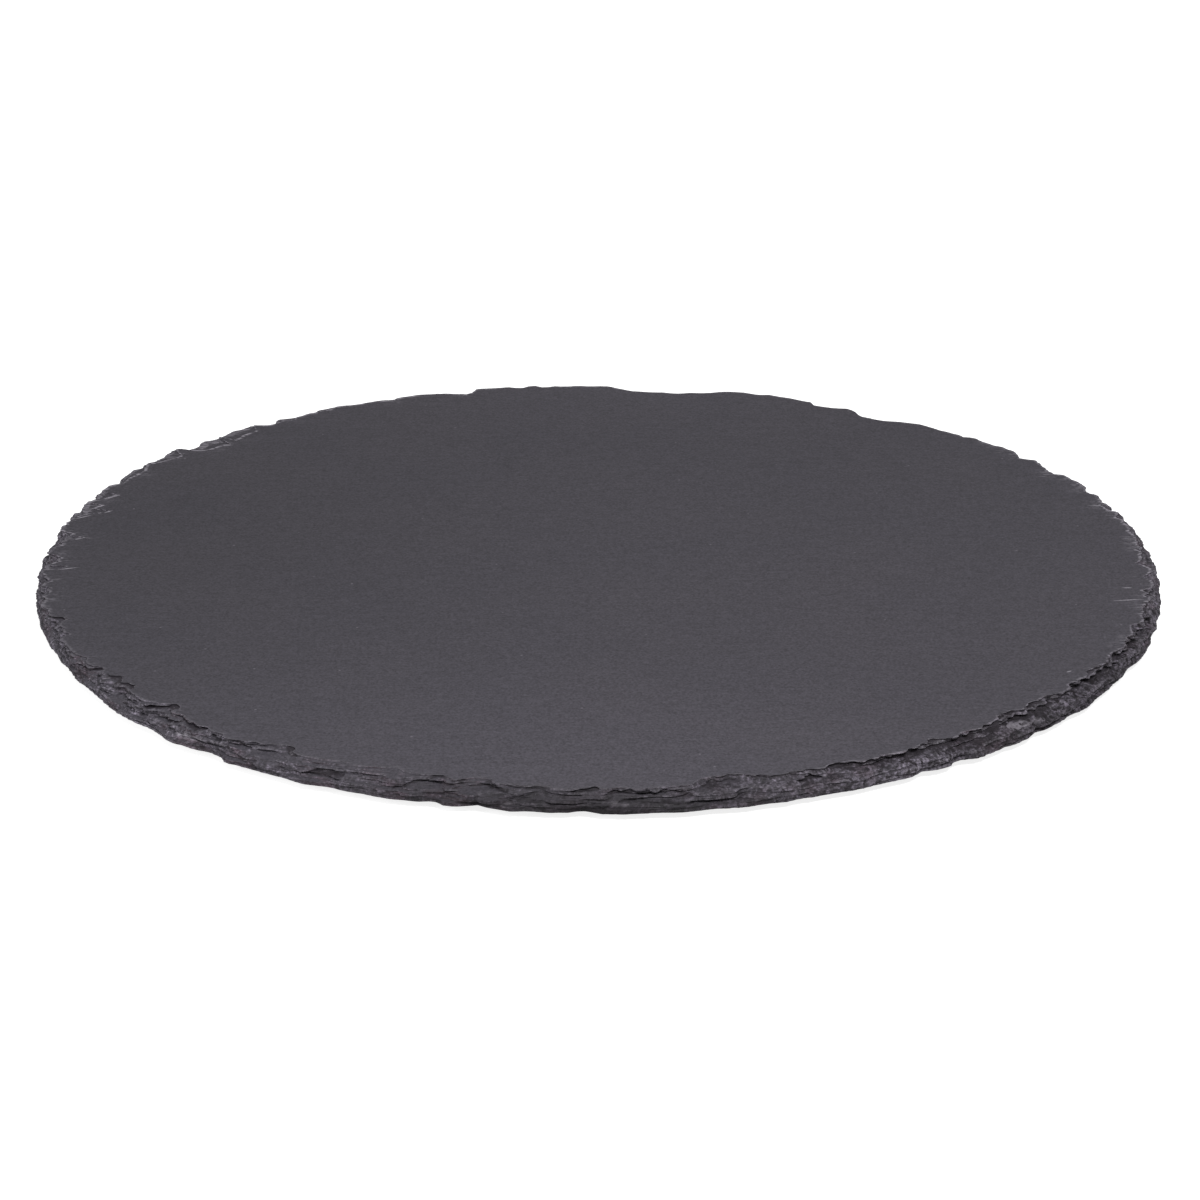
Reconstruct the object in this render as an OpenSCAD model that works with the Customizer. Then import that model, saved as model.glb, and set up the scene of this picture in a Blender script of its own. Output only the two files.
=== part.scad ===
// Round slate serving board: a thin disc split from natural slate, its edge dressed by hand from
// the serving side, standing on four self-adhesive foam feet.
// The origin is on the table under the board's centre, with +Z up. The front of the board is at -Y.

/* [Slate] */
// Nominal diameter across the lower arris of the edge
slate_d = 300; // [240:5:360]
// Thickness of the slate
slate_t = 5; // [4:0.5:8]
// Farthest that the trimmed outline strays from a true circle
wander = 3.5; // [0:0.5:5]

/* [Dressed edge] */
// Plan width of the dressed edge, from the lower arris in to the serving face
dressed_w = 4.5; // [3:0.5:7]
// How far the broken lip of a bed runs in and out
lip_ragged = 0.8; // [0.2:0.1:1.2]
// Length of edge over which a lip runs out and in again
lip_pitch = 5; // [4:0.5:12]
// Fall of the ledge between one bed and the next
ledge_fall = 0.12; // [0.06:0.02:0.2]

/* [Flakes] */
// Width along the edge of a full-sized struck flake
flake_w = 20; // [12:1:30]
// Plan depth of a full-sized struck flake, in from the lower arris
flake_in = 8; // [5:0.5:10]
// Average spacing along the edge of the small chips between the flakes
chip_pitch = 8; // [6:1:24]
// Width along the edge of the widest small chip
chip_w = 11; // [6:1:16]
// Plan depth of the deepest small chip
chip_in = 5; // [3:0.5:8]
// Length along the edge of a full-sized crevice, where one bed overhangs the next
crevice_w = 30; // [15:1:45]
// How far a full-sized crevice runs in under the bed above it
crevice_in = 1.6; // [0.5:0.1:2.5]

/* [Feet] */
// Diameter of a foam foot
foot_d = 14; // [8:1:24]
// Thickness of the foam
foam_t = 1.8; // [1:0.1:4]
// Radius worn on the foam's lower rim
foam_round = 0.4; // [0.1:0.1:0.5]
// Thickness of the adhesive film on the foam
film_t = 0.2; // [0.1:0.05:0.4]
// How far the film stops short of the foam's rim
film_short = 0.3; // [0:0.1:1]
// Distance from the slate's nominal edge in to a foot's centre
foot_inset = 45; // [30:5:80]

/* [Hidden] */

// Length of edge from one point of an outline to the next
edge_step = 2;
edge_seed = 116;
turn = 360;

// Strays of the outline from the circle, counted round from +X in even steps, as shares of wander
outline_shares = [
    0, 0.1, 0.1, 0, -0.3, -0.5, -0.5, -0.25, -0.35, -0.35, 0, -0.1,
    0, 0.1, 0.3, 0.1, -0.1, -0.3, -0.5, -0.65, -0.65, -0.55, -0.3, -0.1,
    0.05, -0.05, 0, 0.2, 0.25, 0.15, 0, 0, 0, -0.2, -0.15, -0.05
];

// Width of the dressed edge at the same places, as shares of dressed_w
dressed_shares = [
    0.7, 0.55, 0.45, 0.45, 0.5, 0.7, 0.7, 0.75, 0.75, 0.75, 0.75, 0.7,
    0.65, 0.45, 0.4, 0.4, 0.4, 0.35, 0.25, 0.25, 0.1, 0.2, 0.7, 0.6,
    0.85, 1, 0.85, 0.6, 0.95, 1.1, 1.05, 1.15, 1, 0.75, 0.5, 0.7
];

// Heights of the cleavage planes that bound the beds, as shares of slate_t
bed_shares = [0, 0.22, 0.42, 0.61, 0.8, 1];

// Struck flakes: place round the board as a share of a turn, then width, depth and
// height of the floor as shares of flake_w, flake_in and slate_t
flake_shares = [
    [0.0465, 0.35, 0.5, 0.4],
    [0.082, 0.4, 0.42, 0.54],
    [0.0965, 0.4, 0.46, 0.2],
    [0.149, 1.5, 0.82, 0.4],
    [0.166, 1.3, 0.7, 0.3],
    [0.222, 3, 1.14, 0.4],
    [0.276, 0.6, 0.6, 0.7],
    [0.297, 0.8, 0.75, 0.4],
    [0.32, 0.6, 0.5, 0.7],
    [0.35, 0.9, 0.54, 0.3],
    [0.3625, 0.5, 0.66, -0.5],
    [0.381, 0.8, 0.46, 0.2],
    [0.3915, 0.6, 0.64, -0.5],
    [0.414, 0.4, 0.36, 0.4],
    [0.4285, 0.45, 0.45, -0.5],
    [0.444, 0.4, 0.44, 0.2],
    [0.4545, 0.4, 0.4, -0.5],
    [0.546, 0.3, 0.62, 0.4],
    [0.588, 0.45, 0.4, 0.6],
    [0.601, 0.5, 0.66, 0.54],
    [0.62, 0.6, 0.74, 0.54],
    [0.6425, 0.5, 0.3, -0.5],
    [0.66, 0.6, 0.76, 0.7],
    [0.69, 0.8, 0.84, 0.8],
    [0.707, 0.25, 0.2, -0.5],
    [0.717, 0.85, 0.8, 0.7],
    [0.7195, 0.25, 0.22, -0.5],
    [0.7475, 0.35, 0.24, -0.5],
    [0.79, 1.8, 1.1, 0.7],
    [0.818, 0.7, 0.86, 0.54],
    [0.839, 0.25, 0.2, -0.5],
    [0.8515, 0.35, 0.26, -0.5],
    [0.8665, 0.25, 0.18, -0.5],
    [0.876, 0.6, 0.82, 0.7],
    [0.879, 0.25, 0.2, -0.5],
    [0.89, 0.45, 0.72, 0.54],
    [0.925, 0.5, 0.45, 0.54]
];

// Crevices: place round the board as a share of a turn, then length and depth as shares of
// crevice_w and crevice_in, and the height of the plane over each as a share of slate_t
crevice_shares = [
    [0.08, 0.6, 0.6, 0.8],
    [0.27, 0.8, 0.5, 0.61],
    [0.36, 0.9, 0.6, 0.8],
    [0.62, 0.7, 0.6, 0.61],
    [0.655, 0.6, 0.8, 0.8],
    [0.705, 0.5, 0.7, 0.8],
    [0.763, 1, 1, 0.8],
    [0.78, 0.7, 0.6, 0.42],
    [0.843, 2.1, 0.9, 0.8],
    [0.905, 1, 0.8, 0.8],
    [0.96, 1.2, 0.6, 0.61]
];

// Shape of the edge: how fast it falls away from the serving face, how blunt a flake's
// sides are, and how sharply a flake's back wall rises from its floor
fall_power = 1.7;
blunt_power = 1.8;
wall_power = 0.3;
// The grain runs along X. A flake's walls run along it or across it, so its deepest point leans
// by up to this share towards the end with the steeper wall
lean_share = 0.75;
// The lower ring of a bed follows its lip by this share
foot_share = 0.6;
// A crevice fades over this share of slate_t below its plane
crevice_fade_share = 0.35;
// Range of the small chips' sizes, as shares of the largest
chip_size_shares = [0.25, 1];
// Range of the small chips' floors, as shares of slate_t
chip_floor_shares = [0.3, 0.9];

slate_r = slate_d / 2;
slate_z = foam_t + film_t;
edge_length = PI * slate_d;
edge_points = round(edge_length / edge_step);
lip_count = round(edge_length / lip_pitch);
chip_count = round(edge_length / chip_pitch);
bed_count = len(bed_shares) - 1;
ring_count = 2 * bed_count;
fall_share = ledge_fall / slate_t / 2;
foot_r = foot_d / 2;
film_r = foot_r - film_short;
foot_ring_r = slate_r - foot_inset;
foot_first_turn = turn * 5 / 8;
foot_step = turn / 4;

// Ragged lips, one run of values for each bed
lips = [for (bed = [0:bed_count - 1]) rands(-1, 1, lip_count, edge_seed + bed)];

// Breaks: angle, half width, depth and height of the floor
chip_places = rands(0, turn, chip_count, edge_seed + bed_count);
chip_sizes = rands(chip_size_shares[0], chip_size_shares[1], chip_count, edge_seed + ring_count);
chip_floors = rands(chip_floor_shares[0], chip_floor_shares[1], chip_count, edge_seed + ring_count + 1);
chips = [for (i = [0:chip_count - 1])
    [chip_places[i], chip_w / 2 * chip_sizes[i], chip_in * chip_sizes[i], chip_floors[i]]];
flakes = [for (s = flake_shares)
    [turn * s[0], flake_w / 2 * s[1], flake_in * s[2], s[3]]];
breaks = concat(flakes, chips);

// Crevices: angle, half length, depth and height of the plane over each
crevices = [for (s = crevice_shares)
    [turn * s[0], crevice_w / 2 * s[1], crevice_in * s[2], s[3]]];

// Value of a closed run of numbers at an angle, eased from one number to the next
function around(values, angle) =
    let (
        count = len(values),
        place = angle / turn * count,
        low = floor(place),
        ease = (1 - cos(turn / 2 * (place - low))) / 2
    )
    values[low % count] * (1 - ease) + values[(low + 1) % count] * ease;

// Angle from b round to a, by the shorter way
function angle_from(a, b) = (a - b + turn * 3 / 2) % turn - turn / 2;

// Place of an angle along a break or crevice, from -1 at one end to 1 at the other
function along(item, angle) = angle_from(angle, item[0]) * edge_length / turn / item[1];

function those_at(items, angle) = [for (item = items) if (abs(along(item, angle)) < 1) item];

// Rise from 0 at either end of a break to 1 at its leaning peak
function swell(place, lean) =
    let (to_end = place < lean ? (1 + place) / (1 + lean) : (1 - place) / (1 - lean))
    1 - pow(1 - to_end, blunt_power);

// Depth of one break at a height, nothing below its floor
function break_depth(item, angle, high) =
    high <= item[3] ? 0 :
    item[2] * swell(along(item, angle), -lean_share * sin(4 * angle))
        * pow((high - item[3]) / (1 - item[3]), wall_power);

// Depth of one crevice at a height, nothing above its plane
function crevice_depth(item, angle, high) =
    high >= item[3] ? 0 :
    item[2] * swell(along(item, angle), 0)
        * max(0, 1 - (item[3] - high) / crevice_fade_share);

// Height of a ring as a share of slate_t: each bed has a lower ring and a lip
function ring_high(ring) =
    let (plane = bed_shares[floor((ring + 1) / 2)])
    plane == 0 || plane == 1 ? plane :
    ring % 2 == 0 ? plane + fall_share : plane - fall_share;

// How far a bed's broken lip stands in from the smooth edge
function ragged(ring, angle) =
    lip_ragged * around(lips[floor(ring / 2)], angle) * (ring % 2 == 0 ? foot_share : 1);

// Radius of a ring at an angle, given the breaks and crevices there
function ring_r(ring, angle, near_breaks, near_crevices) =
    let (
        high = ring_high(ring),
        dressed = dressed_w * around(dressed_shares, angle) * pow(high, fall_power),
        broken = max(concat([dressed], [for (item = near_breaks) break_depth(item, angle, high)])),
        undercut = max(concat([0], [for (item = near_crevices) crevice_depth(item, angle, high)]))
    )
    slate_r + wander * around(outline_shares, angle) - broken - undercut - ragged(ring, angle);

// Closed loft through the rings of the edge, with a fan from the centre over each face
module slate_slab() {
    angles = [for (i = [0:edge_points - 1]) turn * i / edge_points];
    near_breaks = [for (angle = angles) those_at(breaks, angle)];
    near_crevices = [for (angle = angles) those_at(crevices, angle)];
    rings = [for (ring = [0:ring_count - 1]) for (i = [0:edge_points - 1])
        let (r = ring_r(ring, angles[i], near_breaks[i], near_crevices[i]))
        [r * cos(angles[i]), r * sin(angles[i]), slate_t * ring_high(ring)]];
    base_centre = len(rings);
    face_centre = base_centre + 1;
    top_ring = edge_points * (ring_count - 1);
    walls = [for (ring = [0:ring_count - 2]) for (i = [0:edge_points - 1])
        let (
            next = (i + 1) % edge_points,
            here = ring * edge_points,
            above = here + edge_points
        )
        each [
            [here + i, above + i, above + next],
            [here + i, above + next, here + next]
        ]];
    base = [for (i = [0:edge_points - 1]) [base_centre, i, (i + 1) % edge_points]];
    face = [for (i = [0:edge_points - 1])
        [face_centre, top_ring + (i + 1) % edge_points, top_ring + i]];
    color("#4d4b50")
        translate([0, 0, slate_z])
            polyhedron(
                points = concat(rings, [[0, 0, 0], [0, 0, slate_t]]),
                faces = concat(walls, base, face),
                convexity = 4
            );
}

// Puts its children at the place of one foot, counted round from the front left
module at_foot(place) {
    rotate([0, 0, foot_first_turn + foot_step * place])
        translate([foot_ring_r, 0, 0])
            children();
}

// Die-cut foam disc with its lower rim worn round
module foot(place) {
    color("#1d1d1f")
        at_foot(place)
            rotate_extrude()
                union() {
                    translate([0, foam_round])
                        square([foot_r, foam_t - foam_round]);
                    square([foot_r - foam_round, foam_t]);
                    intersection() {
                        translate([foot_r - foam_round, foam_round])
                            circle(r = foam_round, $fn = 48);
                        square([foot_r, foam_t]);
                    }
                }
}

// Double-sided film between a foot and the slate
module film(place) {
    color("#b9b4a6")
        at_foot(place)
            translate([0, 0, foam_t])
                cylinder(r = film_r, h = film_t, $fn = 96);
}

slate_slab();
foot(0);  // front_left_foot
foot(1);  // front_right_foot
foot(2);  // back_right_foot
foot(3);  // back_left_foot
film(0);  // front_left_film
film(1);  // front_right_film
film(2);  // back_right_film
film(3);  // back_left_film
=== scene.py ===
import math

import bpy
import numpy as np
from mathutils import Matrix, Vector, geometry


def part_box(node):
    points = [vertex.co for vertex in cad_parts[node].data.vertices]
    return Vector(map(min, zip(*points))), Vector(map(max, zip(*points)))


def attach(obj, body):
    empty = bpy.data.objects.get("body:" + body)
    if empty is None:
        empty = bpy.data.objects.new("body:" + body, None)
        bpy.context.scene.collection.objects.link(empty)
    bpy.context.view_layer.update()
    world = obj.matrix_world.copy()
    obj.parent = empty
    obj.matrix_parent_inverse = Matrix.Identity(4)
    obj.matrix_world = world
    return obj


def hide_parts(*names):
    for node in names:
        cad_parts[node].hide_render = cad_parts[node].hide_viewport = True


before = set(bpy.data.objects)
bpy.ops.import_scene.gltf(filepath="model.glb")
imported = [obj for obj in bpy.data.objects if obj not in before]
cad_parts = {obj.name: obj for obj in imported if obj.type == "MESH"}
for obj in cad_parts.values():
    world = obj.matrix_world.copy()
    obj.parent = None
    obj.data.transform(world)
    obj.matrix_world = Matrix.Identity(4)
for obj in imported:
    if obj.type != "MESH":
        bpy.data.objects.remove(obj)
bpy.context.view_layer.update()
mm = 0.001
noiseMiddle = 0.5  # the value that a noise texture swings about


def addNode(tree, kind, settings=None, inputs=None):
    # one node with its settings; an input is a value or another node's socket, by name or by place
    node = tree.nodes.new(kind)
    for name, value in (settings or {}).items():
        setattr(node, name, value)
    for place, value in (inputs or {}).items():
        if isinstance(value, bpy.types.NodeSocket):
            tree.links.new(value, node.inputs[place])
        else:
            node.inputs[place].default_value = value
    return node


def calc(tree, operation, *values, clamp=False):
    # the result of one sum of numbers
    settings = {"operation": operation, "use_clamp": clamp}
    return addNode(tree, "ShaderNodeMath", settings, dict(enumerate(values))).outputs[0]


def calcVector(tree, operation, *values, result=0):
    # the result of one sum of vectors
    settings = {"operation": operation}
    return addNode(tree, "ShaderNodeVectorMath", settings, dict(enumerate(values))).outputs[result]


def scaleVector(tree, vector, factor):
    settings = {"operation": "SCALE"}
    return addNode(tree, "ShaderNodeVectorMath", settings, {0: vector, "Scale": factor}).outputs[0]


def remap(tree, value, low, high, toLow, toHigh, **settings):
    # a number carried over from one span to another, and by default held inside it
    inputs = {0: value, 1: low, 2: high, 3: toLow, 4: toHigh}
    return addNode(tree, "ShaderNodeMapRange", settings, inputs).outputs[0]


def blend(tree, share, first, second, way="MIX"):
    # the first colour with its share of the second
    settings = {"data_type": "RGBA", "blend_type": way}
    return addNode(tree, "ShaderNodeMix", settings, {0: share, 6: first, 7: second}).outputs[2]


def hexColour(text):
    # an sRGB hex colour as the linear values that a colour socket takes
    parts = [int(text[i : i + 2], 16) / 255 for i in (1, 3, 5)]
    return [c / 12.92 if c <= 0.04045 else ((c + 0.055) / 1.055) ** 2.4 for c in parts] + [1]


def newMaterial(name):
    material = bpy.data.materials.new(name)
    material.use_nodes = True
    material.node_tree.nodes.clear()
    return material, material.node_tree


# Natural slate, split by hand and chipped round its edge. The split face is matt and nearly plain, with broad
# painted light and shade;
# the broken edge is darker and mottled, with painted shade that makes its clefts black, and pale bruises on its
# sharp corners.
slateLook = {
    "face": "#3c3a41",
    "faceWarm": "#413e44",
    "speck": "#77737b",
    "edge": "#3a373d",
    "edgePale": "#706a76",
    "maroon": "#3c2f36",
    # painted shade: clefts, pits, thin arcs and the hammer's crevices are darkened towards this colour
    "paintedCleftShade": "#1f1a20",
    "bruise": "#8b878f",
    # painted shade: darker stretches of the edge, and its foot most of all, are multiplied towards this colour
    "shade": "#46353f",
    # sizes of the patterns; three sizes run along, across and up through the grain
    "cloudMm": 45,  # soft clouds of tone over the split face
    "streakMm": (7, 0.8, 0.8),  # fine streaks along the grain
    "grainMm": 0.6,
    "speckMm": 9,
    "combMm": (4, 0.3, 0.3),  # short scratches along the grain near the ends
    "patchMm": 9,  # patches that are coarser, redder or more scratched than the rest
    "layerMm": (9, 9, 0.22),  # fine layers seen on the broken edge
    "facetMm": (6, 6, 1.5),  # flake scars, each of its own tone
    "mottleMm": 0.8,
    "lumpMm": (4.5, 4.5, 2),  # curling dark and pale lumps, a few of them to a scar
    # painted shade in small pits of the gritty edge
    "pitMm": 1.5,
    # painted shadow lines under the steps between scars
    "arcMm": (9, 9, 1.4),  # thin dark lines where one scar cuts another
    # pale flecks of the stone, partly painted glints
    "fleckAndGlintMm": 0.9,
    "dustMm": (2.5, 0.6, 0.6),  # broken lines of dust on the top corner
    "streakDepthMm": 0.03,
    "mottleDepthMm": 0.2,
    # painted light and shade on the split face, as ovals: x and y in mm, half width and half height in mm, and
    # brightness at the middle
    "paintedLightOvals": ((-115, 20, 130, 150, 0.86), (-5, -140, 150, 90, 1.16), (20, 150, 120, 60, 1.11)),
    # the longest scratches on the face: x and y in mm, way in degrees and half length in mm
    "scratches": (
        (138.8, -26.6, 7, 4.8), (141.6, -36.2, 2, 1.8), (139.5, -17.9, 3, 1.6), (-140.4, -4, 18, 3.2),
        (118.7, -75.1, 31, 0.9), (-134.7, 50.1, 34, 2.8), (-137.6, 42.4, 34, 2.7), (-133.8, 39, 40, 1.6),
        (-140.2, 34.9, 34, 3.2),
    ),
    "scratchMm": 0.3,
    # each pattern's span, and the span of tone or strength that it becomes; the layers' planes count
    # up from 0 at the underside, and the skin of the serving face lies above plane 10
    "spans": {
        "streakTone": (0.25, 0.75, 0.86, 1.14),
        "grainTone": (0.25, 0.75, 0.55, 1.45),
        "speck": (0.02, 0.045, 0.5, 0),
        "comb": (0.58, 0.63, 0, 0.9),
        "combInset": (0.08, 0.3, 1, 0),
        "combPatch": (0.47, 0.6, 0, 1),
        "scratch": (0.4, 1, 1, 0),
        "layerTone": (0.3, 0.7, 0.8, 1.25),
        "scarTone": (0, 1, 0.8, 1.3),
        "coarse": (0.75, 1.15, 0.25, 1),
        "mottle": (0.45, 0.66, 0, 1),
        "maroon": (0.5, 0.65, 0, 0.6),
        "lumpTone": (0.35, 0.65, 0.45, 1.55),
        "paintedPitShade": (0.53, 0.61, 0, 0.5),
        "paintedArcShade": (0.004, 0.016, 0.7, 0),
        "paintedCleftShade": (0.45, 1.6, 0, 0.65),
        "crushed": (0.1, 0.6, 0, 0.9),
        "paintedMarkShade": (-0.15, -0.6, 0, 0.8),
        "fleckAndGlint": (0.12, 0.2, 0.8, 0),
        "bruise": (-0.3, -1, 0, 0.6),
        "bruiseDust": (0, 1, 0.4, 1),
        "dust": (0.48, 0.6, 0, 0.7),
        "cornerInset": (0.015, 0.04, 1, 0),
        "skin": (10, 10.5, 0, 1),
        "footShade": (0, 10, 1.5, 0.6),
        "roughness": (0, 1, 0.6, 0.75),
    },
}


def makeSlateMaterial(look):
    material, tree = newMaterial("natural slate, split and chipped")
    place = addNode(tree, "ShaderNodeTexCoord").outputs["Object"]
    seen = {name: addNode(tree, "ShaderNodeAttribute", {"attribute_name": name}).outputs["Fac"]
            for name in ("hollow", "broken", "inset", "plane", "edge", "grit", "crush", "dust", "shade",
                         "comb", "tone")}

    def sized(size):
        # the place and scale that draw a pattern at its size
        if isinstance(size, tuple):
            scales = tuple(1 / (length * mm) for length in size)
            mapped = addNode(tree, "ShaderNodeMapping", inputs={"Vector": place, "Scale": scales})
            return {"Vector": mapped.outputs[0], "Scale": 1}
        return {"Vector": place, "Scale": 1 / (size * mm)}

    def noise(size, detail, **more):
        inputs = {**sized(size), "Detail": detail, **more}
        return addNode(tree, "ShaderNodeTexNoise", inputs=inputs).outputs["Fac"]

    def cells(size):
        return addNode(tree, "ShaderNodeTexVoronoi", inputs=sized(size)).outputs

    def span(name, value):
        return remap(tree, value, *look["spans"][name])

    def ovalDistance(x, y, halfX, halfY, way=0):
        # how far a place is from an oval's middle; its rim is at 1
        local = addNode(tree, "ShaderNodeMapping", {"vector_type": "TEXTURE"}, {
            "Vector": place, "Location": (x * mm, y * mm, 0), "Rotation": (0, 0, math.radians(way)),
            "Scale": (halfX * mm, halfY * mm, 1)})
        return calcVector(tree, "LENGTH", local.outputs[0], result="Value")

    patches = noise(look["patchMm"], 1)
    # split face: clouds of tone, streaks along the grain, a fine grain and rare pale specks, with broad painted
    # light and shade
    face = blend(tree, noise(look["cloudMm"], 3), hexColour(look["face"]), hexColour(look["faceWarm"]))
    streaks = noise(look["streakMm"], 4, Roughness=0.7)
    grainTone = span("grainTone", noise(look["grainMm"], 3, Roughness=0.6))
    tone = calc(tree, "MULTIPLY", span("streakTone", streaks), grainTone)
    # painted light and shade: ovals brighten the front and back of the face and darken its left middle
    for x, y, halfX, halfY, middle in look["paintedLightOvals"]:
        far = ovalDistance(x, y, halfX, halfY)
        cloudAndPaintedLight = remap(tree, far, 0, 1, middle, 1, interpolation_type="SMOOTHSTEP")
        tone = calc(tree, "MULTIPLY", tone, cloudAndPaintedLight)
    toned = scaleVector(tree, face, tone)
    specks = span("speck", cells(look["speckMm"])["Distance"])
    facePlain = blend(tree, specks, toned, hexColour(look["speck"]))
    # scratches and splits along the grain, near the edge at the ends of the grain
    combHere = calc(tree, "MULTIPLY", span("combInset", seen["inset"]), seen["comb"])
    combPart = calc(tree, "MULTIPLY", span("combPatch", patches), combHere)
    scored = calc(tree, "MULTIPLY", span("comb", noise(look["combMm"], 2)), combPart)
    for x, y, way, half in look["scratches"]:
        line = span("scratch", ovalDistance(x, y, half, look["scratchMm"], way))
        scored = calc(tree, "MAXIMUM", scored, calc(tree, "MULTIPLY", line, grainTone))
    scratched = blend(tree, scored, facePlain, hexColour(look["bruise"]))
    # broken edge: scars of differing tone and thin layers
    layerTone = span("layerTone", noise(look["layerMm"], 3, Roughness=0.6))
    bedTone = calc(tree, "MULTIPLY", layerTone, span("scarTone", cells(look["facetMm"])["Color"]))
    lumpTone = span("lumpTone", noise(look["lumpMm"], 3, Distortion=1.5))
    edgeTone = calc(tree, "MULTIPLY", bedTone, lumpTone)
    # in patches a coarse pale mottle, and maroon stone
    coarse = span("coarse", calc(tree, "ADD", patches, seen["grit"]))
    mottle = noise(look["mottleMm"], 5, Roughness=0.7)
    mottleMask = span("mottle", mottle)
    paleMask = calc(tree, "MULTIPLY", mottleMask, coarse)
    mottled = blend(tree, paleMask, hexColour(look["edge"]), hexColour(look["edgePale"]))
    tinted = blend(tree, span("maroon", patches), mottled, hexColour(look["maroon"]))
    edged = scaleVector(tree, tinted, edgeTone)
    # crushed pale places; then painted shade in pits, in thin arcs where one scar cuts another and in clefts; then
    # pale flecks, partly painted glints
    crushed = span("crushed", calc(tree, "MULTIPLY", seen["tone"], mottle))
    crushedTone = blend(tree, crushed, edged, hexColour(look["bruise"]))
    pitPart = calc(tree, "ADD", seen["grit"], seen["crush"])
    pitShade = calc(tree, "MULTIPLY", span("paintedPitShade", noise(look["pitMm"], 2)), pitPart)
    arcFar = calc(tree, "SUBTRACT", noise(look["arcMm"], 2), noiseMiddle)
    arcShade = span("paintedArcShade", calc(tree, "ABSOLUTE", arcFar))
    darker = calc(tree, "MAXIMUM", pitShade, arcShade)
    paintedShadeMask = calc(tree, "MAXIMUM", darker, span("paintedCleftShade", seen["hollow"]))
    cleftShaded = blend(tree, paintedShadeMask, crushedTone, hexColour(look["paintedCleftShade"]))
    flecksAndGlints = calc(tree, "MULTIPLY", span("fleckAndGlint", cells(look["fleckAndGlintMm"])["Distance"]), paleMask)
    fleckedAndGlints = blend(tree, flecksAndGlints, cleftShaded, hexColour(look["bruise"]))
    crushHere = calc(tree, "MULTIPLY", seen["crush"], seen["edge"])
    breakHere = calc(tree, "MAXIMUM", crushHere, seen["broken"])
    bedded = blend(tree, breakHere, scratched, fleckedAndGlints)
    # painted shade in the hammer's marks, with an uneven rim
    uneven = calc(tree, "SUBTRACT", mottle, noiseMiddle)
    marks = span("paintedMarkShade", calc(tree, "ADD", seen["tone"], uneven))
    markShadeHere = calc(tree, "MULTIPLY", marks, seen["edge"])
    stone = blend(tree, markShadeHere, bedded, hexColour(look["paintedCleftShade"]))
    # sharp corners are bruised pale, and the top one carries broken lines of dust
    dashes = span("dust", noise(look["dustMm"], 2, Roughness=0.6))
    cornerHere = calc(tree, "MULTIPLY", span("cornerInset", seen["inset"]), span("skin", seen["plane"]))
    dustLine = calc(tree, "MULTIPLY", cornerHere, dashes)
    dustHere = calc(tree, "MULTIPLY", dustLine, seen["dust"])
    chafed = calc(tree, "MAXIMUM", calc(tree, "MULTIPLY", dashes, seen["dust"]), mottleMask)
    bruiseSize = calc(tree, "MULTIPLY", span("bruise", seen["hollow"]), span("bruiseDust", seen["dust"]))
    bruiseHere = calc(tree, "MULTIPLY", bruiseSize, chafed)
    paleHere = calc(tree, "MAXIMUM", dustHere, bruiseHere)
    bruised = blend(tree, paleHere, stone, hexColour(look["bruise"]))
    # painted shade: darker stretches of the edge, most of all near its foot
    shadePart = calc(tree, "MULTIPLY", seen["shade"], span("footShade", seen["plane"]))
    shadeHere = calc(tree, "MULTIPLY", shadePart, seen["edge"])
    coloured = blend(tree, shadeHere, bruised, hexColour(look["shade"]), "MULTIPLY")
    # relief finer than the mesh
    faceBump = addNode(tree, "ShaderNodeBump", inputs={
        "Strength": 0.3, "Distance": look["streakDepthMm"] * mm, "Height": streaks})
    edgeHeight = calc(tree, "MULTIPLY", mottle, breakHere)
    edgeBump = addNode(tree, "ShaderNodeBump", inputs={
        "Strength": 0.6, "Distance": look["mottleDepthMm"] * mm, "Height": edgeHeight,
        "Normal": faceBump.outputs[0]})
    shader = addNode(tree, "ShaderNodeBsdfPrincipled", inputs={
        "Base Color": coloured, "Roughness": span("roughness", breakHere),
        "Normal": edgeBump.outputs[0], "IOR": 1.5, "Specular IOR Level": 0.3})
    addNode(tree, "ShaderNodeOutputMaterial", inputs={0: shader.outputs[0]})
    return material


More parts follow.
